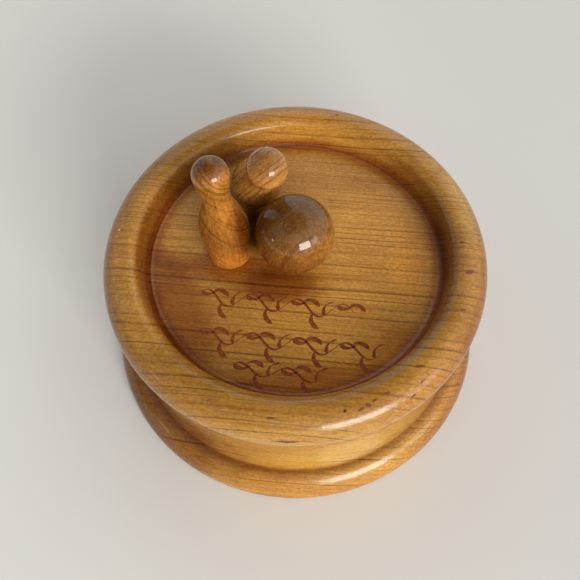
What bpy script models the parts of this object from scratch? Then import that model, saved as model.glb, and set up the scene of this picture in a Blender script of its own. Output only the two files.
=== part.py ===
"""Bowling trophy: a turned wooden pedestal dish that carries two pins and a ball.

Run with: blender --background --python part.py
Units are metres and +Z is up. The origin is the centre of the underside. +X runs to the
right and +Y to the back, as seen by someone who stands in front of the dish.

The pedestal is one block of cherry turned on a lathe. The two pins and the ball are turned
on their own and glued to the floor of the dish, each on a hidden dowel.
"""

import bmesh
import bpy
from math import asin, cos, hypot, pi, radians, sin, tan
from mathutils import Matrix, Vector

MM = 0.001
GAP = 0.3 * MM

# The pedestal: a rounded rim, a wall that leans in to the waist, and a rounded foot
RIM_RADIUS = 75.0 * MM
RIM_ROUND = 10.5 * MM
RIM_CENTRE_Z = 59.1 * MM
RIM_UNDERCUT = radians(9.0)
WAIST_RADIUS = 72.3 * MM
FOOT_RADIUS = 81.0 * MM
FOOT_ROUND = 11.8 * MM
FOOT_EASE = 0.5 * MM

# The recess in its top
FLOOR_Z = 57.5 * MM
SHOULDER_ROUND = 5.0 * MM
WALL_LEAN = radians(12.0)
COVE_ROUND = 3.4 * MM

# The ball
BALL_RADIUS = 15.3 * MM
BALL_AT = Vector((0.2 * MM, 2.3 * MM))

# The dowels, half of each in the dish and half in the figure above it
DOWEL_RADIUS = 3.0 * MM
DOWEL_LENGTH = 16.0 * MM
DOWEL_CHAMFER = 0.5 * MM
BORE_END_ROOM = 0.5 * MM

# The pins: where the axis meets the floor, how far and which way the pin leans, and its
# own radii. A leaning pin's base is sawn on the slant, so that it stands flush.
UPRIGHT_PIN = {
    "at": Vector((-25.8 * MM, 5.3 * MM)),
    "lean": radians(2.7),
    "towards": radians(-161.0),
    "length": 57.0 * MM,
    "base": 8.7 * MM,
    "belly": 9.7 * MM,
    "neck": 5.2 * MM,
    "head": 6.6 * MM,
    "dowel_shift": 0.0,
}
LEANING_PIN = {
    "at": Vector((-17.2 * MM, 35.3 * MM)),
    "lean": radians(29.5),
    "towards": radians(-71.0),
    "length": 57.5 * MM,
    "base": 8.9 * MM,
    "belly": 10.0 * MM,
    "neck": 5.6 * MM,
    "head": 7.4 * MM,
    "dowel_shift": 2.2 * MM,
}
BELLY_AT = 0.31
NECK_AT = 0.69

# Facets round the axis, and along one curve of an outline
PEDESTAL_SIDES = 64
FIGURE_SIDES = 28
DOWEL_SIDES = 16
CURVE_STEPS = 5
SHARP_ANGLE = radians(35.0)
CHAMFER_ANGLE = radians(60.0)

CHERRY = (0.46, 0.22, 0.07)
WALNUT = (0.24, 0.10, 0.035)
BEECH = (0.62, 0.42, 0.22)
LACQUERED = 0.2
BARE = 0.6


def clear_scene():
    """Remove every object of the open scene."""
    for item in list(bpy.data.objects):
        bpy.data.objects.remove(item, do_unlink=True)


def new_collection(name):
    """Make a collection in the scene."""
    collection = bpy.data.collections.new(name)
    bpy.context.scene.collection.children.link(collection)
    return collection


def wood(name, color, roughness):
    """Make the material of one kind of wood."""
    material = bpy.data.materials.new(name)
    material.use_nodes = True
    shader = material.node_tree.nodes["Principled BSDF"]
    shader.inputs["Base Color"].default_value = (*color, 1.0)
    shader.inputs["Roughness"].default_value = roughness
    shader.inputs["Metallic"].default_value = 0.0
    return material


def add_object(name, mesh, collection, material=None):
    """Put a mesh in the scene as one object."""
    item = bpy.data.objects.new(name, mesh)
    if material:
        mesh.materials.append(material)
    collection.objects.link(item)
    return item


def apply_modifiers(item):
    """Turn what the modifiers make into the object's own mesh, shaded smooth."""
    bpy.context.view_layer.update()
    shaped = item.evaluated_get(bpy.context.evaluated_depsgraph_get())
    mesh = bpy.data.meshes.new_from_object(shaped)
    item.modifiers.clear()
    item.data = mesh
    mesh.shade_smooth()
    mesh.set_sharp_from_angle(angle=SHARP_ANGLE)


def arc(centre, radius, start, end, steps=CURVE_STEPS):
    """List the points (radius, height) of an arc about centre."""
    angles = [start + (end - start) * step / steps for step in range(steps + 1)]
    return [(centre[0] + radius * cos(a), centre[1] + radius * sin(a)) for a in angles]


def hollow_arc(start, end, lean, steps=CURVE_STEPS):
    """List the points of a hollow wall that leaves start leaning in by lean."""
    chord = hypot(end[0] - start[0], end[1] - start[1])
    turn = lean - asin((start[0] - end[0]) / chord)
    radius = chord / (2.0 * sin(turn))
    centre = (start[0] + radius * cos(lean), start[1] - radius * sin(lean))
    return arc(centre, radius, pi - lean, pi - lean + 2.0 * turn, steps)


def turned(name, outline, sides, collection, material):
    """Turn an outline, listed from its top to its bottom, round the Z axis."""
    mesh = bpy.data.meshes.new(name)
    points = [(radius, 0.0, height) for radius, height in outline]
    mesh.from_pydata(points, [(i, i + 1) for i in range(len(points) - 1)], [])
    item = add_object(name, mesh, collection, material)
    screw = item.modifiers.new("Turn", "SCREW")
    screw.steps = sides
    screw.render_steps = sides
    screw.use_merge_vertices = True
    screw.merge_threshold = 0.01 * MM
    apply_modifiers(item)
    return item


def cylinder(name, radius, low, high, at, collection, material=None):
    """Make an upright cylinder between two heights."""
    form = bmesh.new()
    bmesh.ops.create_cone(form, cap_ends=True, segments=DOWEL_SIDES, radius1=radius,
                          radius2=radius, depth=high - low)
    mesh = bpy.data.meshes.new(name)
    form.to_mesh(mesh)
    form.free()
    item = add_object(name, mesh, collection, material)
    item.location = (at.x, at.y, (low + high) / 2.0)
    return item


def cut(item, cutter):
    """Cut one object out of another."""
    boolean = item.modifiers.new("Cut " + cutter.name, "BOOLEAN")
    boolean.operation = "DIFFERENCE"
    boolean.object = cutter
    apply_modifiers(item)


def hide_cutter(item):
    """Leave a cutter out of pictures."""
    item.hide_render = True
    item.display_type = "WIRE"
    return item


def pedestal_outline():
    """List the outline of the pedestal, from the dish floor round to the underside."""
    crest_radius = RIM_RADIUS - RIM_ROUND
    crest_z = RIM_CENTRE_Z + RIM_ROUND
    shoulder = (crest_radius, crest_z - SHOULDER_ROUND)
    wall_top = (shoulder[0] - SHOULDER_ROUND * cos(WALL_LEAN),
                shoulder[1] + SHOULDER_ROUND * sin(WALL_LEAN))
    cove_z = FLOOR_Z + COVE_ROUND
    cove_drop = wall_top[1] - (cove_z - COVE_ROUND * sin(WALL_LEAN))
    wall_foot_radius = wall_top[0] - cove_drop * tan(WALL_LEAN)
    cove = (wall_foot_radius - COVE_ROUND * cos(WALL_LEAN), cove_z)
    foot_centre = (FOOT_RADIUS - FOOT_ROUND, 0.0)
    foot_start = (WAIST_RADIUS - foot_centre[0]) / FOOT_ROUND
    foot = arc(foot_centre, FOOT_ROUND, pi / 2.0 - asin(foot_start), asin(FOOT_EASE / FOOT_ROUND))
    rim = arc((crest_radius, RIM_CENTRE_Z), RIM_ROUND, pi / 2.0, -RIM_UNDERCUT, 2 * CURVE_STEPS)
    outline = [(0.0, FLOOR_Z)]
    outline += arc(cove, COVE_ROUND, -pi / 2.0, -WALL_LEAN)
    outline += arc(shoulder, SHOULDER_ROUND, pi - WALL_LEAN, pi / 2.0)[:-1]
    outline += rim
    outline += hollow_arc(rim[-1], foot[0], RIM_UNDERCUT)[1:-1]
    outline += foot
    outline += [(FOOT_RADIUS - FOOT_EASE, 0.0), (0.0, 0.0)]
    return outline


def blend(start, end, steps=CURVE_STEPS):
    """List the points of an S-curve that leaves and arrives along the pin's axis."""
    points = []
    for step in range(steps):
        share = step / steps
        swing = (1.0 - cos(pi * share)) / 2.0
        points.append((start[0] + (end[0] - start[0]) * swing,
                       start[1] + (end[1] - start[1]) * share))
    return points


def pin_outline(pin):
    """List the outline of a pin on its own axis, from the head to below the floor."""
    head = (pin["head"], pin["length"] - pin["head"])
    neck = (pin["neck"], pin["length"] * NECK_AT)
    belly = (pin["belly"], pin["length"] * BELLY_AT)
    base = (pin["base"], 0.0)
    sawn_off = -2.0 * pin["belly"] * tan(pin["lean"]) - GAP
    outline = arc((0.0, head[1]), pin["head"], pi / 2.0, 0.0, 2 * CURVE_STEPS)[:-1]
    outline[0] = (0.0, pin["length"])
    outline += blend(head, neck)
    outline += blend(neck, belly)
    outline += blend(belly, base)
    outline += [base, (pin["base"], sawn_off), (0.0, sawn_off)]
    return outline


def lean_direction(pin):
    """Return the level direction in which a pin leans."""
    return Vector((cos(pin["towards"]), sin(pin["towards"])))


def pin_figure(name, pin, below_floor, collection, material):
    """Make one pin, leaning as it should, and saw its base flush with the floor."""
    item = turned(name, pin_outline(pin), FIGURE_SIDES, collection, material)
    direction = lean_direction(pin)
    hinge = Vector((-direction.y, direction.x, 0.0))
    item.location = (*pin["at"], FLOOR_Z)
    item.rotation_euler = Matrix.Rotation(pin["lean"], 3, hinge).to_euler()
    cut(item, below_floor)
    return item


def ball_figure(collection, material):
    """Make the ball, resting on the floor."""
    form = bmesh.new()
    bmesh.ops.create_uvsphere(form, u_segments=FIGURE_SIDES, v_segments=FIGURE_SIDES // 2,
                              radius=BALL_RADIUS)
    mesh = bpy.data.meshes.new("ball")
    form.to_mesh(mesh)
    form.free()
    item = add_object("ball", mesh, collection, material)
    item.location = (*BALL_AT, FLOOR_Z + GAP + BALL_RADIUS)
    return item


def floor_block(collection):
    """Make the block that saws the figures flush with the floor."""
    size = 4.0 * RIM_RADIUS
    form = bmesh.new()
    bmesh.ops.create_cube(form, size=size)
    mesh = bpy.data.meshes.new("below_floor")
    form.to_mesh(mesh)
    form.free()
    item = add_object("below_floor", mesh, collection)
    item.location = (0.0, 0.0, FLOOR_Z + GAP - size / 2.0)
    return hide_cutter(item)


def dowel_joint(figure, pedestal, at, parts, cutters, material):
    """Bore a figure and the pedestal, and put a dowel in the bore."""
    half = DOWEL_LENGTH / 2.0
    reach = half + BORE_END_ROOM
    bore = cylinder(figure.name + "_bore", DOWEL_RADIUS + GAP, FLOOR_Z - reach, FLOOR_Z + reach,
                    at, cutters)
    hide_cutter(bore)
    cut(figure, bore)
    cut(pedestal, bore)
    dowel = cylinder(figure.name + "_dowel", DOWEL_RADIUS, FLOOR_Z - half, FLOOR_Z + half,
                     at, parts, material)
    bevel = dowel.modifiers.new("Chamfer", "BEVEL")
    bevel.width = DOWEL_CHAMFER
    bevel.segments = 1
    bevel.limit_method = "ANGLE"
    bevel.angle_limit = CHAMFER_ANGLE
    apply_modifiers(dowel)


def build():
    """Build the whole trophy."""
    clear_scene()
    parts = new_collection("bowling_trophy")
    cutters = new_collection("cutters")
    cherry = wood("cherry", CHERRY, LACQUERED)
    below_floor = floor_block(cutters)
    pedestal = turned("pedestal_dish", pedestal_outline(), PEDESTAL_SIDES, parts, cherry)
    ball = ball_figure(parts, wood("ball_walnut", WALNUT, LACQUERED))
    dowel_joint(ball, pedestal, BALL_AT, parts, cutters, wood("ball_beech", BEECH, BARE))
    for name, pin in (("upright_pin", UPRIGHT_PIN), ("leaning_pin", LEANING_PIN)):
        walnut = wood(name + "_walnut", WALNUT, LACQUERED)
        figure = pin_figure(name, pin, below_floor, parts, walnut)
        at = pin["at"] + lean_direction(pin) * pin["dowel_shift"]
        dowel_joint(figure, pedestal, at, parts, cutters, wood(name + "_beech", BEECH, BARE))


build()
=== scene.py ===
"""Looks of the bowling trophy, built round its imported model.

Units are metres, +Z is up and the origin is the centre of the underside. -Y is towards the
viewer. Materials work in millimetres, from each piece's own coordinates.
"""

from math import asin, cos, hypot, pi, radians, sin, tan

import bmesh
import bpy
from mathutils import Matrix, Vector


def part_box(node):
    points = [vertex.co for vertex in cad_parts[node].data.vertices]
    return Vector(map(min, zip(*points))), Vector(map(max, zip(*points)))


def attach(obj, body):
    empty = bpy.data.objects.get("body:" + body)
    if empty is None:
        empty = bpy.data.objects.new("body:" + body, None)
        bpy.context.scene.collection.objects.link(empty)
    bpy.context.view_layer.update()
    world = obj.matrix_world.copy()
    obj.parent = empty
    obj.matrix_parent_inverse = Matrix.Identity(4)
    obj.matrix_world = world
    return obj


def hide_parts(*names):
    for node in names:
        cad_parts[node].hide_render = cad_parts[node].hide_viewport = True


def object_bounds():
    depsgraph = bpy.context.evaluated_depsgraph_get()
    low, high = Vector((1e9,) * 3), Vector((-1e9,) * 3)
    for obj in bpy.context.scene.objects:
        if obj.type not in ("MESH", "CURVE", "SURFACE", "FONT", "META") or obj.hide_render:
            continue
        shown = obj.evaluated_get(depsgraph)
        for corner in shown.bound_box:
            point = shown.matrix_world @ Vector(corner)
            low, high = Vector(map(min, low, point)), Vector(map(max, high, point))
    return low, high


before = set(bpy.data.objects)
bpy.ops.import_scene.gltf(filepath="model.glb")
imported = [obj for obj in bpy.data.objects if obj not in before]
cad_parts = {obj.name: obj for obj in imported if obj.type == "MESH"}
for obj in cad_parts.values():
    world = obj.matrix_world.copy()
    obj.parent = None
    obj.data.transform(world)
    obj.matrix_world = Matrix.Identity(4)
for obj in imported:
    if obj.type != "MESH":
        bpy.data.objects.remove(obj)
CAD_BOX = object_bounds()

MM = 0.001
PER_MM = 1.0 / MM
GAP = 0.3 * MM
BODY = "root"

# The pedestal, as in the model
RIM_RADIUS = 75.0 * MM
RIM_ROUND = 10.5 * MM
RIM_CENTRE_Z = 59.1 * MM
RIM_UNDERCUT = radians(9.0)
WAIST_RADIUS = 72.3 * MM
FOOT_RADIUS = 81.0 * MM
FOOT_ROUND = 11.8 * MM
FOOT_EASE = 0.5 * MM
FLOOR_Z = 57.5 * MM
SHOULDER_ROUND = 5.0 * MM
WALL_LEAN = radians(12.0)
COVE_ROUND = 3.4 * MM

# The pins, as in the model
UPRIGHT_PIN = {
    "at": Vector((-25.8 * MM, 5.3 * MM)),
    "lean": radians(2.7),
    "towards": radians(-161.0),
    "length": 57.0 * MM,
    "base": 8.7 * MM,
    "belly": 9.7 * MM,
    "neck": 5.2 * MM,
    "head": 6.6 * MM,
}
LEANING_PIN = {
    "at": Vector((-17.2 * MM, 35.3 * MM)),
    "lean": radians(29.5),
    "towards": radians(-71.0),
    "length": 57.5 * MM,
    "base": 8.9 * MM,
    "belly": 10.0 * MM,
    "neck": 5.6 * MM,
    "head": 7.4 * MM,
}
BELLY_AT = 0.31
NECK_AT = 0.69

# Facets of the fine meshes
PEDESTAL_SIDES = 288
FIGURE_SIDES = 112
BORE_SIDES = 32
CURVE_STEPS = 18
SHARP_ANGLE = radians(35.0)

# The camera: it looks down at a point on the table, turned a little about its own axis
CAMERA_ELEVATION = radians(62.08)
CAMERA_ROLL = radians(-1.49)
CAMERA_DISTANCE = 336.9 * MM
CAMERA_AIM = Vector((-2.21 * MM, 17.11 * MM, 0.0))
SENSOR_WIDTH = 36.0
LENS = 43.45

# The lamps, each a flat panel: azimuth, elevation, width and height as seen from the trophy, all
# in degrees, and radiance
LAMPS = {
    "window": (-63.0, 18.0, 30.0, 20.0, 15.0),
    "side_window": (-32.0, 15.0, 18.0, 17.0, 3.0),
    "far_wall": (150.0, 14.0, 46.0, 28.0, 0.5),
    "left_lamp": (-157.0, 10.0, 5.0, 5.0, 6.0),
    "back_lamp": (89.0, 28.0, 2.0, 2.0, 12.0),
}
LAMP_COLOUR = (1.0, 0.97, 0.90)
LAMP_DISTANCE = 4.0

# The room: walls bright on one side and dim on the other, more so low down, under a dark
# ceiling
BRIGHT_SIDE = (0.98, 0.17, 0.0)
BRIGHT_WALL = (1.03, 1.01, 0.97)
DIM_LOW_WALL = (0.10, 0.10, 0.10)
DIM_HIGH_WALL = (0.45, 0.45, 0.45)
CEILING = (0.08, 0.08, 0.08)

# How the walls go from bright to dim round the room, and from dim to less dim and then to the
# ceiling upwards. Directions are given by their cosine and their height.
BRIGHT_FADE = (-0.60, 0.0)
DIM_RISE = (0.25, 0.60)
CEILING_RISE = (0.74, 0.92)

# The table top, slightly paler on the left of the trophy than on the right: painted light that
# lifts the left side, which the lamps leave darker
TABLE_REACH = 12.0
TABLE_FADE = (-0.12, 0.14)
TABLE_LEFT = (0.87, 0.86, 0.84)
TABLE_RIGHT = (0.735, 0.725, 0.715)
TABLE_CLOUD = (0.78, 0.775, 0.76)

# The pen flourishes on the dish floor: for each row its two ends, the swing of its stem, all in
# millimetres, and its turns
FLOURISH_ROWS = (
    ((-39.0, -14.5), (22.0, -24.0), 3.2, 3.5),
    ((-39.0, -31.0), (31.0, -41.0), 2.9, 4.0),
    ((-26.0, -44.5), (9.0, -50.0), 2.2, 2.0),
)
LEAVES_PER_TURN = 4
LEAF_LENGTH = 6.6 * MM
LEAF_WIDTH = 1.8 * MM
LEAF_ANGLE = radians(58.0)
LEAF_CURL = 1.1
STEM_WIDTH = 1.0 * MM
PEN_THINNEST = 0.25 * MM
PEN_ANGLE = radians(38.0)
INK_RISE = 0.03 * MM
INK_SINK = 0.05 * MM
INK_STEPS = 90


# ---------------------------------------------------------------- shapes

def arc(centre, radius, start, end, steps=CURVE_STEPS):
    """List the points (radius, height) of an arc about centre."""
    angles = [start + (end - start) * step / steps for step in range(steps + 1)]
    return [(centre[0] + radius * cos(a), centre[1] + radius * sin(a)) for a in angles]


def hollow_arc(start, end, lean, steps=CURVE_STEPS):
    """List the points of a hollow wall that leaves start leaning in by lean."""
    chord = hypot(end[0] - start[0], end[1] - start[1])
    turn = lean - asin((start[0] - end[0]) / chord)
    radius = chord / (2.0 * sin(turn))
    centre = (start[0] + radius * cos(lean), start[1] - radius * sin(lean))
    return arc(centre, radius, pi - lean, pi - lean + 2.0 * turn, steps)


def blend(start, end, steps=CURVE_STEPS):
    """List the points of an S-curve that leaves and arrives along the pin's axis."""
    points = []
    for step in range(steps):
        share = step / steps
        swing = (1.0 - cos(pi * share)) / 2.0
        points.append((start[0] + (end[0] - start[0]) * swing,
                       start[1] + (end[1] - start[1]) * share))
    return points


def straight(start, end, steps):
    """List the points that divide a straight line, without its last point."""
    return [(start[0] + (end[0] - start[0]) * step / steps,
             start[1] + (end[1] - start[1]) * step / steps) for step in range(steps)]


def pedestal_outline():
    """List the outline of the pedestal, from the dish floor round to the underside."""
    crest_radius = RIM_RADIUS - RIM_ROUND
    crest_z = RIM_CENTRE_Z + RIM_ROUND
    shoulder = (crest_radius, crest_z - SHOULDER_ROUND)
    wall_top = (shoulder[0] - SHOULDER_ROUND * cos(WALL_LEAN),
                shoulder[1] + SHOULDER_ROUND * sin(WALL_LEAN))
    cove_z = FLOOR_Z + COVE_ROUND
    cove_drop = wall_top[1] - (cove_z - COVE_ROUND * sin(WALL_LEAN))
    wall_foot_radius = wall_top[0] - cove_drop * tan(WALL_LEAN)
    cove = (wall_foot_radius - COVE_ROUND * cos(WALL_LEAN), cove_z)
    foot_centre = (FOOT_RADIUS - FOOT_ROUND, 0.0)
    foot_start = (WAIST_RADIUS - foot_centre[0]) / FOOT_ROUND
    foot = arc(foot_centre, FOOT_ROUND, pi / 2.0 - asin(foot_start), asin(FOOT_EASE / FOOT_ROUND))
    rim = arc((crest_radius, RIM_CENTRE_Z), RIM_ROUND, pi / 2.0, -RIM_UNDERCUT, 2 * CURVE_STEPS)
    outline = straight((0.0, FLOOR_Z), (cove[0], FLOOR_Z), CURVE_STEPS)
    outline += arc(cove, COVE_ROUND, -pi / 2.0, -WALL_LEAN)
    outline += arc(shoulder, SHOULDER_ROUND, pi - WALL_LEAN, pi / 2.0)[:-1]
    outline += rim
    outline += hollow_arc(rim[-1], foot[0], RIM_UNDERCUT)[1:-1]
    outline += foot
    outline += [(FOOT_RADIUS - FOOT_EASE, 0.0), (0.0, 0.0)]
    return outline


def pin_outline(pin):
    """List the outline of a pin on its own axis, from the head to below the floor."""
    head = (pin["head"], pin["length"] - pin["head"])
    neck = (pin["neck"], pin["length"] * NECK_AT)
    belly = (pin["belly"], pin["length"] * BELLY_AT)
    base = (pin["base"], 0.0)
    sawn_off = -2.0 * pin["belly"] * tan(pin["lean"]) - GAP
    outline = arc((0.0, head[1]), pin["head"], pi / 2.0, 0.0, 2 * CURVE_STEPS)[:-1]
    outline[0] = (0.0, pin["length"])
    outline += blend(head, neck)
    outline += blend(neck, belly)
    outline += blend(belly, base)
    outline += [base, (pin["base"], sawn_off), (0.0, sawn_off)]
    return outline


def ball_outline(radius):
    """List the outline of the ball about its own centre, from top to bottom."""
    outline = arc((0.0, 0.0), radius, pi / 2.0, -pi / 2.0, 4 * CURVE_STEPS)
    outline[0] = (0.0, radius)
    outline[-1] = (0.0, -radius)
    return outline


def add_object(name, mesh):
    """Put a mesh in the scene as one object."""
    item = bpy.data.objects.new(name, mesh)
    bpy.context.scene.collection.objects.link(item)
    return item


def apply_modifiers(item):
    """Turn what the modifiers make into the object's own mesh, shaded smooth."""
    bpy.context.view_layer.update()
    shaped = item.evaluated_get(bpy.context.evaluated_depsgraph_get())
    mesh = bpy.data.meshes.new_from_object(shaped)
    item.modifiers.clear()
    item.data = mesh
    mesh.shade_smooth()
    mesh.set_sharp_from_angle(angle=SHARP_ANGLE)


def turned(name, outline, sides):
    """Turn an outline, listed from its top to its bottom, round the Z axis."""
    mesh = bpy.data.meshes.new(name)
    points = [(radius, 0.0, height) for radius, height in outline]
    mesh.from_pydata(points, [(i, i + 1) for i in range(len(points) - 1)], [])
    item = add_object(name, mesh)
    screw = item.modifiers.new("Turn", "SCREW")
    screw.steps = sides
    screw.render_steps = sides
    screw.use_merge_vertices = True
    screw.merge_threshold = 0.001 * MM
    apply_modifiers(item)
    return item


def cut(item, cutter):
    """Cut one object out of another."""
    boolean = item.modifiers.new("Cut", "BOOLEAN")
    boolean.operation = "DIFFERENCE"
    boolean.object = cutter
    apply_modifiers(item)


def remove(item):
    """Delete a helper object."""
    bpy.data.objects.remove(item, do_unlink=True)


def floor_block():
    """Make the block that saws the figures flush with the dish floor."""
    size = 4.0 * RIM_RADIUS
    form = bmesh.new()
    bmesh.ops.create_cube(form, size=size)
    mesh = bpy.data.meshes.new("below_floor")
    form.to_mesh(mesh)
    form.free()
    item = add_object("below_floor", mesh)
    item.location = (0.0, 0.0, FLOOR_Z + GAP - size / 2.0)
    return item


def bore_of(dowel):
    """Make the bore in which a dowel of the model sits, with room all round it."""
    low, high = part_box(dowel)
    form = bmesh.new()
    bmesh.ops.create_cone(form, cap_ends=True, segments=BORE_SIDES,
                          radius1=(high.x - low.x) / 2.0 + GAP,
                          radius2=(high.x - low.x) / 2.0 + GAP,
                          depth=high.z - low.z + 2.0 * GAP)
    mesh = bpy.data.meshes.new("bore")
    form.to_mesh(mesh)
    form.free()
    item = add_object("bore", mesh)
    item.location = (low + high) / 2.0
    return item


def ink_strip(form, left, right):
    """Add one pen stroke to a mesh: a thin closed strip between two lists of points."""
    rows = []
    for side, height in ((left, INK_RISE), (right, INK_RISE), (right, -INK_SINK),
                         (left, -INK_SINK)):
        rows.append([form.verts.new((x, y, FLOOR_Z + height)) for x, y in side])
    for row, following in zip(rows, rows[1:] + rows[:1]):
        for i in range(len(row) - 1):
            form.faces.new((row[i], row[i + 1], following[i + 1], following[i]))
    form.faces.new([row[0] for row in rows])
    form.faces.new([row[-1] for row in reversed(rows)])


def pen_stroke(form, path, widest):
    """Draw a path with a broad nib, which makes a line thick or thin as it turns."""
    left = []
    right = []
    for step in range(INK_STEPS + 1):
        share = step / INK_STEPS
        here = path(share)
        ahead = path(share + 0.002) - path(share - 0.002)
        ahead.normalize()
        across = Vector((-ahead.y, ahead.x))
        slant = abs(ahead.x * sin(PEN_ANGLE) - ahead.y * cos(PEN_ANGLE))
        taper = min(1.0, 6.0 * min(share, 1.0 - share) + 0.15)
        half = (PEN_THINNEST + (widest - PEN_THINNEST) * slant) * taper / 2.0
        left.append(here + across * half)
        right.append(here - across * half)
    ink_strip(form, left, right)


def scroll(start, end, swing, turns):
    """Return a waving stem from start to end, as a path from 0 to 1."""
    along = end - start
    across = Vector((-along.y, along.x)).normalized()

    def path(share):
        return start + along * share + across * swing * sin(2.0 * pi * turns * share)
    return path


def leaf(root, direction, curl):
    """Return a short curling leaf stroke, as a path from 0 to 1."""
    def path(share):
        heading = direction + curl * (share - 0.5)
        return root + Vector((cos(heading), sin(heading))) * LEAF_LENGTH * share
    return path


def flourish():
    """Draw three rows of waving, leafy pen flourishes on the dish floor."""
    form = bmesh.new()
    for start, end, swing, turns in FLOURISH_ROWS:
        stem = scroll(Vector(start) * MM, Vector(end) * MM, swing * MM, turns)
        pen_stroke(form, stem, STEM_WIDTH)
        count = int(LEAVES_PER_TURN * turns)
        for i in range(count):
            share = (i + 0.5) / count
            ahead = stem(share + 0.01) - stem(share - 0.01)
            heading = Vector((ahead.x, ahead.y)).angle_signed(Vector((1.0, 0.0)))
            side = 1.0 if i % 2 else -1.0
            path = leaf(stem(share), heading + side * LEAF_ANGLE, -side * LEAF_CURL)
            pen_stroke(form, path, LEAF_WIDTH)
    bmesh.ops.recalc_face_normals(form, faces=form.faces)
    mesh = bpy.data.meshes.new("pen_flourish")
    form.to_mesh(mesh)
    form.free()
    return add_object("pen_flourish", mesh)


def place_pin(item, pin):
    """Stand a pin on the dish floor, leaning as it should."""
    direction = Vector((cos(pin["towards"]), sin(pin["towards"])))
    hinge = Vector((-direction.y, direction.x, 0.0))
    item.location = (*pin["at"], FLOOR_Z)
    item.rotation_euler = Matrix.Rotation(pin["lean"], 3, hinge).to_euler()


# ---------------------------------------------------------------- materials

SCALAR_SUMS = ("LENGTH", "DISTANCE", "DOT_PRODUCT")


class Graph:
    """Adds nodes to one node tree. Any input may be a number, a tuple or another node's output."""

    def __init__(self, tree):
        self.tree = tree

    def node(self, kind, inputs=None, **settings):
        """Add a node, set it up and fill its inputs, which are named or counted."""
        made = self.tree.nodes.new(kind)
        for key, value in settings.items():
            setattr(made, key, value)
        for key, value in (inputs or {}).items():
            if isinstance(value, bpy.types.NodeSocket):
                self.tree.links.new(value, made.inputs[key])
            else:
                made.inputs[key].default_value = value
        return made

    def math(self, operation, *values, clamp=False):
        """Add one sum."""
        made = self.node("ShaderNodeMath", dict(enumerate(values)), operation=operation,
                         use_clamp=clamp)
        return made.outputs[0]

    def vector(self, operation, *values):
        """Add one vector sum, and return its vector."""
        made = self.node("ShaderNodeVectorMath", dict(enumerate(values)), operation=operation)
        return made.outputs["Value" if operation in SCALAR_SUMS else "Vector"]

    def noise(self, vector, scale, detail=2.0, roughness=0.5):
        """Add noise from 0 to 1 over a vector, as many cells per millimetre as scale says."""
        made = self.node("ShaderNodeTexNoise",
                         {"Vector": vector, "Scale": scale, "Detail": detail,
                          "Roughness": roughness})
        return made.outputs["Fac"]

    def line_noise(self, value, scale, detail=2.0):
        """Add noise from 0 to 1 along one value."""
        made = self.node("ShaderNodeTexNoise", {"W": value, "Scale": scale, "Detail": detail},
                         noise_dimensions="1D")
        return made.outputs["Fac"]

    def step(self, value, low, high, low_out=0.0, high_out=1.0):
        """Go smoothly from one number to another as value goes from low to high."""
        made = self.node("ShaderNodeMapRange",
                         {"Value": value, "From Min": low, "From Max": high,
                          "To Min": low_out, "To Max": high_out},
                         interpolation_type="SMOOTHSTEP")
        return made.outputs["Result"]

    def mix(self, share, first, second, blend_type="MIX"):
        """Mix two colours."""
        made = self.node("ShaderNodeMix", data_type="RGBA", blend_type=blend_type)
        for socket, value in ((made.inputs[0], share), (made.inputs[6], first),
                              (made.inputs[7], second)):
            if isinstance(value, bpy.types.NodeSocket):
                self.tree.links.new(value, socket)
            elif isinstance(value, tuple):
                socket.default_value = (*value, 1.0)
            else:
                socket.default_value = value
        return made.outputs[2]


def new_material(name):
    """Make an empty material, and return it with its graph and its shader."""
    material = bpy.data.materials.new(name)
    material.use_nodes = True
    return material, Graph(material.node_tree), material.node_tree.nodes["Principled BSDF"]
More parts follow.
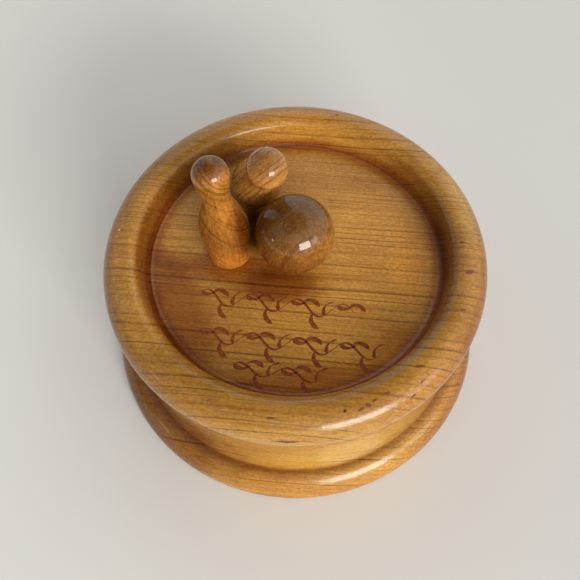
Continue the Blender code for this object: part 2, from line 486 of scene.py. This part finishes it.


# The woods. "turn" brings the fibres along X, and "pith" is then where the centre of the
# growth rings lies, in millimetres along Y and Z. "patches" are broad, soft darker or lighter
# places, most of them painted shade, shadow, highlight and sheen, some the wood's own tone:
# centre, size, heading in degrees and the colour that multiplies the wood's.
CHERRY = {
    "light": (0.54, 0.265, 0.050),
    "dark": (0.40, 0.170, 0.026),
    "line": (0.14, 0.050, 0.010),
    "end": (0.50, 0.36, 0.25),
    "turn": (0.0, 0.0, radians(7.0)),
    "pith": (122.0, 117.0),
    "spacing": 3.5,
    "latewood": 0.74,
    "line_strength": 0.95,
    "fleck_strength": 0.55,
    "slant": 0.0,
    "grit": 0.20,
    "breaks": 0.06,
    "sway": 1.8,
    "patches": (
        # the dish floor: painted shadow between the figures and painted shade and reflection in
        # front of them, a darker growth band beside them, darker on the left in front and along
        # the front, lighter at the back on the left, and painted light over the middle and right,
        # where the window falls
        ((-14.5, 16.0, 57.5), (11.0, 14.0, 4.0), 0.0, (0.14, 0.08, 0.06)),
        ((-8.0, -11.0, 57.5), (24.0, 9.0, 4.0), -6.0, (0.48, 0.30, 0.22)),
        ((-24.0, -2.0, 57.5), (36.0, 8.0, 4.0), -6.0, (0.66, 0.46, 0.34)),
        ((-44.0, -22.0, 57.5), (13.0, 30.0, 4.0), 22.0, (0.68, 0.50, 0.38)),
        ((-44.0, 22.0, 57.5), (16.0, 18.0, 4.0), 0.0, (1.20, 1.25, 1.15)),
        ((10.0, -52.0, 57.5), (42.0, 9.0, 4.0), 4.0, (0.80, 0.62, 0.50)),
        ((38.0, -40.0, 57.5), (18.0, 14.0, 6.0), 0.0, (0.78, 0.64, 0.50)),
        ((25.0, -15.0, 57.5), (55.0, 60.0, 5.0), 0.0, (1.32, 1.34, 1.36)),
        ((47.0, -4.0, 57.5), (13.0, 24.0, 3.0), 0.0, (1.25, 1.15, 1.00)),
        # painted shade on the wall of the dish on the right, which faces away from the window
        ((61.0, -6.0, 61.0), (7.0, 55.0, 6.0), 0.0, (0.62, 0.48, 0.38)),
        # the top of the rim: darker over most of it and in three places towards the left, with a
        # painted sheen on the outer left and a pale painted reflection along the front
        ((20.0, -25.0, 71.0), (85.0, 85.0, 9.0), 0.0, (0.77, 0.76, 0.72)),
        ((-46.0, -58.0, 66.0), (34.0, 26.0, 12.0), 0.0, (0.80, 0.78, 0.74)),
        ((-50.0, 50.0, 66.0), (26.0, 24.0, 12.0), 0.0, (0.80, 0.80, 0.78)),
        ((-58.5, 4.0, 64.0), (4.5, 28.0, 8.0), 0.0, (0.84, 0.80, 0.74)),
        ((-70.0, 4.0, 65.0), (6.0, 32.0, 9.0), 0.0, (1.26, 1.24, 1.12)),
        ((0.0, -74.0, 60.0), (55.0, 14.0, 10.0), 0.0, (0.96, 1.07, 1.28)),
        # painted shade on the wall and foot on the left in front, which face away from the window,
        # and a painted highlight on the wall on the right in front
        ((-60.0, -48.0, 14.0), (48.0, 42.0, 36.0), 0.0, (0.58, 0.47, 0.38)),
        ((34.0, -66.0, 30.0), (56.0, 40.0, 30.0), 0.0, (1.17, 1.42, 1.42)),
        ((-36.0, -62.0, 34.0), (24.0, 20.0, 15.0), 0.0, (0.80, 0.74, 0.66)),
        # painted sheen on the outside of the rim on the right
        ((68.0, 24.0, 64.0), (12.0, 38.0, 10.0), 0.0, (1.12, 1.32, 1.55)),
    ),
}
UPRIGHT_WALNUT = {
    "light": (0.46, 0.19, 0.032),
    "dark": (0.26, 0.090, 0.013),
    "line": (0.07, 0.022, 0.005),
    "end": (0.42, 0.36, 0.40),
    "turn": (0.0, radians(90.0), 0.0),
    "pith": (-20.0, 60.0),
    "spacing": 6.4,
    "latewood": 0.72,
    "line_strength": 0.95,
    "fleck_strength": 0.6,
    "slant": 0.85,
    "grit": 0.20,
    "breaks": 0.16,
    "sway": 3.0,
    "patches": (
        # the pale sapwood at the base, darker on the right flank, and the dark heartwood across
        # the belly
        ((-1.0, -6.0, 3.0), (12.0, 9.0, 14.0), 0.0, (1.50, 1.36, 1.20)),
        ((10.0, -4.0, 20.0), (8.0, 9.0, 26.0), 0.0, (0.32, 0.21, 0.16)),
        ((-3.0, -9.0, 24.0), (11.0, 7.0, 8.0), 0.0, (0.84, 0.80, 0.76)),
    ),
}
LEANING_WALNUT = {
    "light": (0.53, 0.245, 0.056),
    "dark": (0.39, 0.150, 0.026),
    "line": (0.05, 0.018, 0.005),
    "end": (0.62, 0.60, 0.62),
    "turn": (0.0, radians(90.0), 0.0),
    "pith": (46.0, 38.0),
    "spacing": 2.9,
    "latewood": 0.62,
    "line_strength": 1.0,
    "fleck_strength": 0.6,
    "slant": 0.0,
    "grit": 0.22,
    "breaks": 0.08,
    "sway": 0.8,
    "patches": (
        # painted shade on the lower end, down between the other two figures
        ((0.0, -2.0, 4.0), (15.0, 15.0, 24.0), 0.0, (0.36, 0.27, 0.22)),
    ),
}
BALL_WALNUT = {
    "light": (0.33, 0.135, 0.024),
    "dark": (0.21, 0.075, 0.013),
    "line": (0.06, 0.020, 0.005),
    "end": (0.44, 0.48, 0.60),
    "turn": (0.0, radians(90.0), 0.0),
    "pith": (-60.0, -40.0),
    "spacing": 9.0,
    "latewood": 0.70,
    "line_strength": 0.45,
    "fleck_strength": 0.8,
    "slant": 0.25,
    "grit": 0.24,
    "breaks": 0.2,
    "sway": 4.0,
    "patches": (
        # painted shade on the lower half in front and on the left flank, and a painted sheen on
        # the crown
        ((0.0, -14.0, -3.0), (16.0, 8.0, 10.0), 0.0, (0.78, 0.64, 0.68)),
        ((-13.0, -3.0, 2.0), (8.0, 14.0, 14.0), 0.0, (0.74, 0.64, 0.56)),
        ((2.0, -5.0, 13.0), (9.0, 9.0, 9.0), 0.0, (1.15, 1.14, 1.10)),
    ),
}
# The hidden dowels
BEECH_LIGHT = (0.62, 0.42, 0.22)
BEECH_DARK = (0.42, 0.25, 0.11)

# The lacquer, which is a clear coat over wood that has no gloss of its own
PEDESTAL_GLOSS = 0.2
FIGURE_GLOSS = 0.05
LACQUER_IOR = 1.45
WOOD_ROUGHNESS = 0.6

# Painted shade in the creases round the dish floor and above the foot, and a thin dark line at
# the edge of the floor: a point (radius, 0, height) in millimetres, how far the darkening reaches
# from it, and the colour that multiplies the wood's
CREASE_SHADE_AND_LINE = (
    # painted shade in the cove round the dish floor
    ((58.3, 0.0, 57.8), 6.0, (0.56, 0.34, 0.21)),
    # a thin dark line round the edge of the floor
    ((57.4, 0.0, 58.2), 0.8, (0.60, 0.46, 0.36)),
    # painted shade in the crease above the foot
    ((72.3, 0.0, 11.4), 5.0, (0.60, 0.48, 0.34)),
)

# The ink of the flourishes
INK = (0.21, 0.038, 0.010)
WORN_INK = (0.33, 0.085, 0.020)

# Small marks in the wood of the pedestal, in millimetres: centre, half length, half width,
# heading in degrees and colour
SCAR = (0.07, 0.024, 0.010)
GUM = (0.17, 0.050, 0.016)
CHIP = (0.85, 0.78, 0.62)
# the pale colour of a small fleck, painted as a glint
FLECK_GLINT = (0.85, 0.62, 0.30)
MARKS = (
    ((-4.5, -74.5, 62.0), 5.4, 0.60, -3.5, SCAR),
    ((-10.0, -68.0, 68.7), 2.0, 0.30, -4.0, SCAR),
    ((15.3, -66.3, 69.0), 0.7, 0.55, 0.0, SCAR),
    ((20.8, -65.8, 68.6), 1.5, 0.60, 30.0, GUM),
    ((23.4, -64.4, 68.8), 1.3, 0.75, -20.0, GUM),
    ((25.6, -62.8, 69.0), 1.2, 0.50, 40.0, GUM),
    ((30.0, -60.4, 69.2), 1.4, 0.40, 10.0, GUM),
    ((39.4, -60.7, 66.1), 1.6, 0.45, 50.0, SCAR),
    ((43.1, -55.9, 67.7), 1.2, 0.40, 45.0, GUM),
    ((42.3, -51.0, 69.4), 2.2, 0.60, 5.0, GUM),
    ((60.3, -29.6, 69.2), 1.3, 0.50, 0.0, GUM),
    ((65.1, -14.0, 69.4), 2.0, 1.00, 10.0, GUM),
    ((63.8, -1.0, 69.6), 1.0, 0.40, 0.0, GUM),
    ((19.7, 64.0, 69.3), 1.0, 0.45, 20.0, SCAR),
    ((-45.3, -33.4, 58.5), 1.3, 0.45, -10.0, SCAR),
    ((-43.3, -35.9, 58.5), 1.4, 0.50, -12.0, SCAR),
    ((-41.7, -37.9, 58.5), 1.2, 0.40, -8.0, SCAR),
    ((-4.4, -78.8, 3.0), 0.8, 0.60, 0.0, SCAR),
    ((-68.1, 9.1, 68.7), 0.5, 0.45, 0.0, CHIP),
    # a small raised fleck on the front of the rim, painted pale as a glint where the window
    # highlight begins
    ((8.0, -71.2, 66.8), 0.5, 0.35, 0.0, FLECK_GLINT),
)


def fibre_coordinates(graph, wood):
    """Return a piece's coordinates in millimetres, with X along the fibres, a little wavy."""
    place = graph.node("ShaderNodeTexCoord").outputs["Object"]
    place = graph.node("ShaderNodeMapping", {"Vector": place, "Rotation": wood["turn"],
                                             "Scale": (PER_MM,) * 3}).outputs["Vector"]
    slow = graph.vector("MULTIPLY", place, (0.3, 1.0, 1.0))
    sway = graph.node("ShaderNodeTexNoise", {"Vector": slow, "Scale": 0.05, "Detail": 1.0})
    sway = graph.vector("SUBTRACT", sway.outputs["Color"], (0.5, 0.5, 0.5))
    sway = graph.vector("MULTIPLY", sway, (0.0, wood["sway"], wood["sway"]))
    return graph.vector("ADD", place, sway)


def growth_rings(graph, place, wood):
    """Return how far a point is from the pith, counted in rings."""
    across = graph.vector("MULTIPLY", place, (0.0, 1.0, 1.0))
    distance = graph.vector("DISTANCE", across, (0.0, *wood["pith"]))
    along = graph.node("ShaderNodeSeparateXYZ", {"Vector": place}).outputs["X"]
    distance = graph.math("MULTIPLY_ADD", along, wood["slant"], distance)
    uneven = graph.line_noise(distance, 0.12, 1.0)
    rings = graph.math("DIVIDE", distance, wood["spacing"])
    return graph.math("MULTIPLY_ADD", uneven, 2.4, rings), distance


def end_grain(graph, wood):
    """Return how squarely the surface cuts across the fibres, from 0 to 1."""
    facing = graph.node("ShaderNodeTexCoord").outputs["Normal"]
    facing = graph.node("ShaderNodeMapping", {"Vector": facing, "Rotation": wood["turn"]},
                        vector_type="VECTOR").outputs["Vector"]
    along = graph.node("ShaderNodeSeparateXYZ", {"Vector": facing}).outputs["X"]
    return graph.step(graph.math("ABSOLUTE", along), 0.3, 1.0)


def growth_lines(graph, place, rings, wood):
    """Return how dark the late wood is at a point: a thin line to each ring, broken in places."""
    number = graph.math("FLOOR", rings)
    strength = graph.node("ShaderNodeTexWhiteNoise", {"W": number}, noise_dimensions="1D")
    strength = graph.step(strength.outputs["Value"], 0.0, 1.0, 0.35, 1.0)
    share = graph.math("FRACT", rings)
    late = graph.math("MULTIPLY", graph.step(share, wood["latewood"], 0.94),
                      graph.step(share, 0.94, 1.0, 1.0, 0.0))
    late = graph.math("MULTIPLY", late, strength)
    broken = graph.noise(graph.vector("MULTIPLY", place, (0.3, 1.0, 1.0)), wood["breaks"], 2.0)
    late = graph.math("MULTIPLY", late, graph.step(broken, 0.32, 0.56, 0.20, 1.0))
    return graph.math("MULTIPLY", late, wood["line_strength"])


def early_wood(graph, place, distance):
    """Return how dark the wood is between the lines: fine rings, long streaks, slow patches."""
    fine = graph.step(graph.line_noise(distance, 0.9, 2.0), 0.5, 0.75)
    streaks = graph.noise(graph.vector("MULTIPLY", place, (0.03, 1.0, 1.0)), 0.8, 3.0, 0.6)
    patches = graph.noise(graph.vector("MULTIPLY", place, (0.3, 1.0, 1.0)), 0.05, 2.0)
    base = graph.math("MULTIPLY_ADD", streaks, 1.1, graph.math("MULTIPLY", patches, 0.6))
    base = graph.math("MULTIPLY_ADD", fine, 0.18, base)
    return graph.step(base, 0.60, 1.20)


def wood_grit(graph, place, wood):
    """Return a grey about white that makes the wood a little speckled."""
    grit = graph.noise(graph.vector("MULTIPLY", place, (0.5, 1.0, 1.0)), 1.5, 2.0, 0.7)
    light = graph.step(grit, 0.3, 0.7, 1.0 - wood["grit"], 1.0 + wood["grit"])
    return graph.node("ShaderNodeCombineColor", {0: light, 1: light, 2: light}).outputs[0]


def wood_colour(graph, wood):
    """Return the colour of solid wood, and the depth of its pores for the bump."""
    place = fibre_coordinates(graph, wood)
    rings, distance = growth_rings(graph, place, wood)
    colour = graph.mix(early_wood(graph, place, distance), wood["light"], wood["dark"])
    colour = graph.mix(growth_lines(graph, place, rings, wood), colour, wood["line"])
    pores = graph.noise(graph.vector("MULTIPLY", place, (0.12, 1.0, 1.0)), 2.2, 1.0)
    pores = graph.step(pores, 0.66, 0.78)
    colour = graph.mix(graph.math("MULTIPLY", pores, wood["fleck_strength"]), colour, wood["line"])
    colour = graph.mix(end_grain(graph, wood), colour, wood["end"], "MULTIPLY")
    colour = graph.mix(1.0, colour, wood_grit(graph, place, wood), "MULTIPLY")
    return painted_light_and_tints(graph, colour, wood["patches"]), pores


def millimetres(graph):
    """Return a piece's own coordinates in millimetres."""
    place = graph.node("ShaderNodeTexCoord").outputs["Object"]
    return graph.vector("MULTIPLY", place, (PER_MM,) * 3)


def reach_from(graph, place, centre, heading, size):
    """Return how far a point is from a centre, as a share of an ellipsoid's size."""
    local = graph.node("ShaderNodeMapping",
                       {"Vector": place, "Location": centre,
                        "Rotation": (0.0, 0.0, radians(heading)), "Scale": size},
                       vector_type="TEXTURE").outputs["Vector"]
    return graph.vector("LENGTH", local)


def painted_light_and_tints(graph, colour, patches):
    """Tint the wood softly in some places, mostly with painted shade, shadow, highlight and sheen.
    """
    place = millimetres(graph)
    uneven = graph.math("SUBTRACT", graph.noise(place, 0.07, 3.0), 0.5)
    # most patches are painted shade, shadow, highlight and sheen
    for centre, size, heading, tint_colour in patches:
        reach = reach_from(graph, place, centre, heading, size)
        reach = graph.math("MULTIPLY_ADD", uneven, 0.8, reach)
        colour = graph.mix(graph.step(reach, 0.4, 1.1, 1.0, 0.0), colour, tint_colour, "MULTIPLY")
    return colour


def crease_shade_and_line(graph, colour):
    """Darken the creases with painted shade, round the dish floor and above the foot, and a thin
    line.
    """
    place = millimetres(graph)
    height = graph.node("ShaderNodeSeparateXYZ", {"Vector": place}).outputs["Z"]
    radius = graph.vector("LENGTH", graph.vector("MULTIPLY", place, (1.0, 1.0, 0.0)))
    section = graph.node("ShaderNodeCombineXYZ", {"X": radius, "Z": height}).outputs[0]
    uneven = graph.math("SUBTRACT", graph.noise(place, 0.07, 3.0), 0.5)
    for crease, reach, tint_colour in CREASE_SHADE_AND_LINE:
        gap = graph.vector("DISTANCE", section, crease)
        gap = graph.math("MULTIPLY_ADD", uneven, 0.6 * reach, gap)
        colour = graph.mix(graph.step(gap, 0.1 * reach, reach, 1.0, 0.0), colour, tint_colour,
                           "MULTIPLY")
    return colour


def small_marks(graph, colour):
    """Add the scars, gum flecks and chips of the pedestal, and a fleck painted pale as a glint."""
    place = millimetres(graph)
    ragged = graph.math("SUBTRACT", graph.noise(place, 1.6, 2.0), 0.5)
    for centre, half_length, half_width, heading, tint_colour in MARKS:
        size = (half_length, half_width, half_width)
        reach = reach_from(graph, place, centre, heading, size)
        reach = graph.math("MULTIPLY_ADD", ragged, 1.2, reach)
        colour = graph.mix(graph.step(reach, 0.6, 1.2, 0.95, 0.0), colour, tint_colour)
    return colour


def lacquer(graph, shader, colour, pores, gloss):
    """Coat a wood with clear gloss lacquer."""
    place = graph.node("ShaderNodeTexCoord").outputs["Object"]
    ripple = graph.noise(place, 0.12 * PER_MM, 2.0)
    height = graph.math("MULTIPLY_ADD", pores, -0.3, ripple)
    bump = graph.node("ShaderNodeBump", {"Height": height, "Strength": 0.12,
                                         "Distance": 0.1 * MM})
    graph.tree.links.new(colour, shader.inputs["Base Color"])
    graph.tree.links.new(bump.outputs["Normal"], shader.inputs["Coat Normal"])
    shader.inputs["Roughness"].default_value = WOOD_ROUGHNESS
    shader.inputs["Specular IOR Level"].default_value = 0.0
    shader.inputs["Coat Weight"].default_value = 1.0
    shader.inputs["Coat Roughness"].default_value = gloss
    shader.inputs["Coat IOR"].default_value = LACQUER_IOR


def lacquered_wood(name, wood, gloss, shade_and_mark_steps=()):
    """Make the material of lacquered wood, with any steps that add marks and painted shade to it.
    """
    material, graph, shader = new_material(name)
    colour, pores = wood_colour(graph, wood)
    for step in shade_and_mark_steps:
        colour = step(graph, colour)
    lacquer(graph, shader, colour, pores, gloss)
    return material


def ink(name):
    """Make the material of the pen flourishes: red-brown ink under the lacquer."""
    material, graph, shader = new_material(name)
    place = graph.node("ShaderNodeTexCoord").outputs["Object"]
    blots = graph.noise(place, 0.9 * PER_MM, 3.0)
    colour = graph.mix(graph.step(blots, 0.3, 0.7), INK, WORN_INK)
    lacquer(graph, shader, colour, blots, PEDESTAL_GLOSS)
    return material


def bare_wood(name):
    """Make the material of the hidden dowels: bare beech with short brown flecks."""
    material, graph, shader = new_material(name)
    place = graph.node("ShaderNodeTexCoord").outputs["Object"]
    flecks = graph.noise(graph.vector("MULTIPLY", place, (1.0, 1.0, 0.2)), 1.5 * PER_MM, 2.0)
    colour = graph.mix(graph.step(flecks, 0.5, 0.7), BEECH_LIGHT, BEECH_DARK)
    graph.tree.links.new(colour, shader.inputs["Base Color"])
    shader.inputs["Roughness"].default_value = WOOD_ROUGHNESS
    return material


# ---------------------------------------------------------------- pieces

def finish_piece(item, node, material):
    """Let a fine piece stand for its node of the model."""
    item.data.materials.clear()
    item.data.materials.append(material)
    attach(item, BODY)
    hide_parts(node)


def build_pieces():
    """Build every visible piece of the trophy."""
    bores = {name: bore_of(name + "_dowel") for name in ("upright_pin", "leaning_pin", "ball")}
    below_floor = floor_block()

    pedestal = turned("turned_pedestal", pedestal_outline(), PEDESTAL_SIDES)
    for bore in bores.values():
        cut(pedestal, bore)
    finish_piece(pedestal, "pedestal_dish",
                 lacquered_wood("cherry", CHERRY, PEDESTAL_GLOSS, (crease_shade_and_line, small_marks)))

    marks = flourish()
    marks.data.materials.append(ink("ink"))
    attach(marks, BODY)

    for name, pin, walnut in (("upright_pin", UPRIGHT_PIN, UPRIGHT_WALNUT),
                              ("leaning_pin", LEANING_PIN, LEANING_WALNUT)):
        figure = turned("turned_" + name, pin_outline(pin), FIGURE_SIDES)
        place_pin(figure, pin)
        cut(figure, below_floor)
        cut(figure, bores[name])
        finish_piece(figure, name,
                     lacquered_wood(name + "_walnut", walnut, FIGURE_GLOSS))

    low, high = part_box("ball")
    ball = turned("turned_ball", ball_outline((high.z - low.z) / 2.0), FIGURE_SIDES)
    ball.location = (low + high) / 2.0
    cut(ball, bores["ball"])
    finish_piece(ball, "ball",
                 lacquered_wood("ball_walnut", BALL_WALNUT, FIGURE_GLOSS))

    beech = bare_wood("beech")
    for name in bores:
        for material_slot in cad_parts[name + "_dowel"].material_slots:
            material_slot.material = beech
    for helper in (*bores.values(), below_floor):
        remove(helper)


# ---------------------------------------------------------------- stage

def build_camera():
    """Make the camera."""
    back = Vector((0.0, -cos(CAMERA_ELEVATION), sin(CAMERA_ELEVATION)))
    level = Vector((1.0, 0.0, 0.0))
    up = back.cross(level)
    right = level * cos(CAMERA_ROLL) + up * sin(CAMERA_ROLL)
    top = up * cos(CAMERA_ROLL) - level * sin(CAMERA_ROLL)
    data = bpy.data.cameras.new("camera")
    data.sensor_width = SENSOR_WIDTH
    data.lens = LENS
    data.clip_start = 10.0 * MM
    camera = bpy.data.objects.new("camera", data)
    bpy.context.scene.collection.objects.link(camera)
    turn = Matrix((right, top, back)).transposed().to_4x4()
    camera.matrix_world = Matrix.Translation(CAMERA_AIM + back * CAMERA_DISTANCE) @ turn
    bpy.context.scene.camera = camera


def hang_lamp(name, azimuth, elevation, width, height, radiance):
    """Hang a flat lamp that faces the trophy, its angles in degrees."""
    azimuth = radians(azimuth)
    elevation = radians(elevation)
    centre = (CAD_BOX[0] + CAD_BOX[1]) / 2.0
    out = Vector((cos(azimuth) * cos(elevation), sin(azimuth) * cos(elevation), sin(elevation)))
    data = bpy.data.lights.new(name, "AREA")
    data.shape = "RECTANGLE"
    data.size = 2.0 * LAMP_DISTANCE * tan(radians(width) / 2.0)
    data.size_y = 2.0 * LAMP_DISTANCE * tan(radians(height) / 2.0)
    data.energy = pi * data.size * data.size_y * radiance
    data.color = LAMP_COLOUR
    lamp = bpy.data.objects.new(name, data)
    bpy.context.scene.collection.objects.link(lamp)
    lamp.location = centre + out * LAMP_DISTANCE
    lamp.rotation_euler = out.to_track_quat("Z", "Y").to_euler()


def build_room():
    """Light the room softly, from its bright side."""
    world = bpy.data.worlds.new("room")
    bpy.context.scene.world = world
    world.use_nodes = True
    graph = Graph(world.node_tree)
    direction = graph.node("ShaderNodeTexCoord").outputs["Generated"]
    height = graph.node("ShaderNodeSeparateXYZ", {"Vector": direction}).outputs["Z"]
    flat = graph.vector("NORMALIZE", graph.vector("MULTIPLY", direction, (1.0, 1.0, 0.0)))
    towards = graph.vector("DOT_PRODUCT", flat, BRIGHT_SIDE)
    dim_walls = graph.mix(graph.step(height, *DIM_RISE), DIM_LOW_WALL, DIM_HIGH_WALL)
    walls = graph.mix(graph.step(towards, *BRIGHT_FADE), dim_walls, BRIGHT_WALL)
    colour = graph.mix(graph.step(height, *CEILING_RISE), walls, CEILING)
    background = world.node_tree.nodes["Background"]
    world.node_tree.links.new(colour, background.inputs["Color"])
    background.inputs["Strength"].default_value = 1.0


def build_table():
    """Make the pale table top that the trophy stands on."""
    form = bmesh.new()
    bmesh.ops.create_grid(form, x_segments=1, y_segments=1, size=TABLE_REACH)
    mesh = bpy.data.meshes.new("table")
    form.to_mesh(mesh)
    form.free()
    table = add_object("table", mesh)
    material, graph, shader = new_material("table_top")
    place = graph.node("ShaderNodeTexCoord").outputs["Object"]
    cloud = graph.noise(place, 12.0, 3.0)
    across = graph.node("ShaderNodeSeparateXYZ", {"Vector": place}).outputs["X"]
    # paler on the left: painted light that lifts the side the lamps leave darker
    colour = graph.mix(graph.step(across, *TABLE_FADE), TABLE_LEFT, TABLE_RIGHT)
    colour = graph.mix(graph.math("MULTIPLY", cloud, 0.3), colour, TABLE_CLOUD)
    material.node_tree.links.new(colour, shader.inputs["Base Color"])
    shader.inputs["Roughness"].default_value = 0.7
    mesh.materials.append(material)


build_pieces()
build_camera()
build_room()
for lamp_name, lamp_place in LAMPS.items():
    hang_lamp(lamp_name, *lamp_place)
build_table()
bpy.context.scene.view_settings.view_transform = "Standard"
